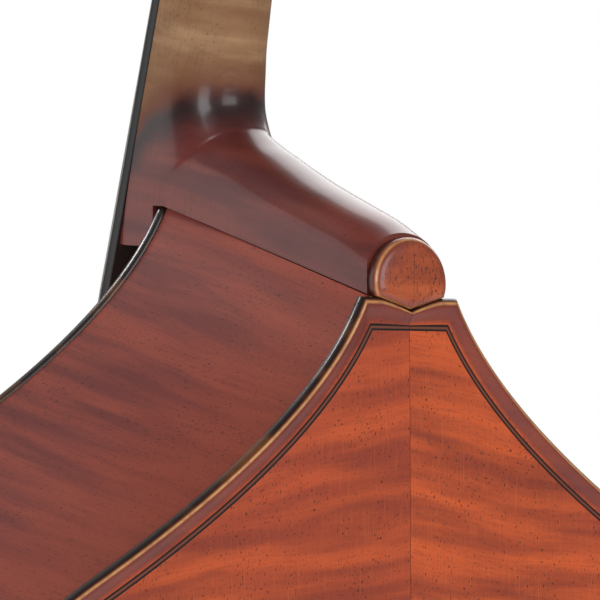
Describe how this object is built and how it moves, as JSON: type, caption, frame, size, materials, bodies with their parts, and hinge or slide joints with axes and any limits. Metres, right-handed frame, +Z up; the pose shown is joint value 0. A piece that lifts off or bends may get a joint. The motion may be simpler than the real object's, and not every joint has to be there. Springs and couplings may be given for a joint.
{
  "type": "double bass",
  "caption": "Three-quarter size upright double bass: flat back, sloping shoulders, worm-geared tuning machines and an adjustable endpin.",
  "frame": {"origin": "the endpin's tip, on the floor", "axes": "+Z up along the body, -Y out of the belly (front), +X to the treble side"},
  "size_m": [0.664, 0.3542, 2.0593],
  "materials": {
    "varnished_maple": "red-brown oil varnish over flamed maple, glossy",
    "varnished_spruce": "orange-brown oil varnish over straight-grained spruce",
    "inner_wood": "plain unvarnished spruce and willow",
    "ebony": "satin black ebony",
    "bridge_maple": "plain oiled maple",
    "brass": "satin brass",
    "steel": "polished plated steel",
    "string_wire": "flat-wound steel",
    "rubber": "matt black rubber"
  },
  "bodies": {
    "root": {"back_treble": "varnished_maple", "back_bass": "varnished_maple", "belly_treble": "varnished_spruce", "belly_bass": "varnished_spruce", "rib_upper_treble": "varnished_maple", "rib_upper_bass": "varnished_maple", "rib_waist_treble": "varnished_maple", "rib_waist_bass": "varnished_maple", "rib_lower_treble": "varnished_maple", "rib_lower_bass": "varnished_maple", "neck_block": "inner_wood", "end_block": "inner_wood", "corner_block_upper_treble": "inner_wood", "corner_block_upper_bass": "inner_wood", "corner_block_lower_treble": "inner_wood", "corner_block_lower_bass": "inner_wood", "back_brace_upper": "inner_wood", "back_brace_bend": "inner_wood", "back_brace_post": "inner_wood", "back_brace_lower": "inner_wood", "bass_bar": "inner_wood", "sound_post": "inner_wood", "neck": "varnished_maple", "fingerboard": "ebony", "nut": "ebony", "scroll_head": "varnished_maple", "bridge": "bridge_maple", "tailpiece": "ebony", "tail_wire": "steel", "saddle": "ebony", "end_plug": "ebony", "end_collar": "steel", "string_g": "string_wire", "string_d": "string_wire", "string_a": "string_wire", "string_e": "string_wire", "machine_plate_g": "brass", "machine_plate_d": "brass", "machine_plate_a": "brass", "machine_plate_e": "brass"},
    "endpin": {"endpin_rod": "steel", "rubber_tip": "rubber"},
    "thumbscrew": {"endpin_thumbscrew": "steel"},
    "key_e": {"tuning_key_e": "brass"},
    "post_e": {"tuning_post_e": "steel", "gear_wheel_e": "brass"},
    "key_g": {"tuning_key_g": "brass"},
    "post_g": {"tuning_post_g": "steel", "gear_wheel_g": "brass"},
    "key_a": {"tuning_key_a": "brass"},
    "post_a": {"tuning_post_a": "steel", "gear_wheel_a": "brass"},
    "key_d": {"tuning_key_d": "brass"},
    "post_d": {"tuning_post_d": "steel", "gear_wheel_d": "brass"}
  },
  "joints": [
    {"name": "endpin_slide", "type": "slide", "parent": "root", "child": "endpin", "axis": [0, 0, 1], "range_m": [-0.2, 0.095]},
    {"name": "thumbscrew_turn", "type": "hinge", "parent": "root", "child": "thumbscrew", "pos_m": [0, -0.0055, 0.1517], "axis": [0, -1, 0], "range_deg": [-720, 0]},
    {"name": "key_turn_e", "type": "hinge", "parent": "root", "child": "key_e", "pos_m": [-0.0336, 0.0018, 1.79184], "axis": [0, 0.9839, -0.1788], "continuous": true},
    {"name": "post_turn_e", "type": "hinge", "parent": "root", "child": "post_e", "pos_m": [0, -0.00169, 1.77265], "axis": [1, 0, 0], "continuous": true},
    {"name": "key_turn_g", "type": "hinge", "parent": "root", "child": "key_g", "pos_m": [0.0336, 0.00985, 1.83611], "axis": [0, 0.9839, -0.1788], "continuous": true},
    {"name": "post_turn_g", "type": "hinge", "parent": "root", "child": "post_g", "pos_m": [0, 0.00636, 1.81693], "axis": [1, 0, 0], "continuous": true},
    {"name": "key_turn_a", "type": "hinge", "parent": "root", "child": "key_a", "pos_m": [-0.0336, 0.01789, 1.88039], "axis": [0, 0.9839, -0.1788], "continuous": true},
    {"name": "post_turn_a", "type": "hinge", "parent": "root", "child": "post_a", "pos_m": [0, 0.01441, 1.8612], "axis": [1, 0, 0], "continuous": true},
    {"name": "key_turn_d", "type": "hinge", "parent": "root", "child": "key_d", "pos_m": [0.0336, 0.02594, 1.92466], "axis": [0, 0.9839, -0.1788], "continuous": true},
    {"name": "post_turn_d", "type": "hinge", "parent": "root", "child": "post_d", "pos_m": [0, 0.02245, 1.90548], "axis": [1, 0, 0], "continuous": true}
  ],
  "couplings": [
    {"joint": "key_turn_e", "follows": "post_turn_e", "ratio": 20},
    {"joint": "key_turn_g", "follows": "post_turn_g", "ratio": 20},
    {"joint": "key_turn_a", "follows": "post_turn_a", "ratio": 20},
    {"joint": "key_turn_d", "follows": "post_turn_d", "ratio": 20}
  ]
}
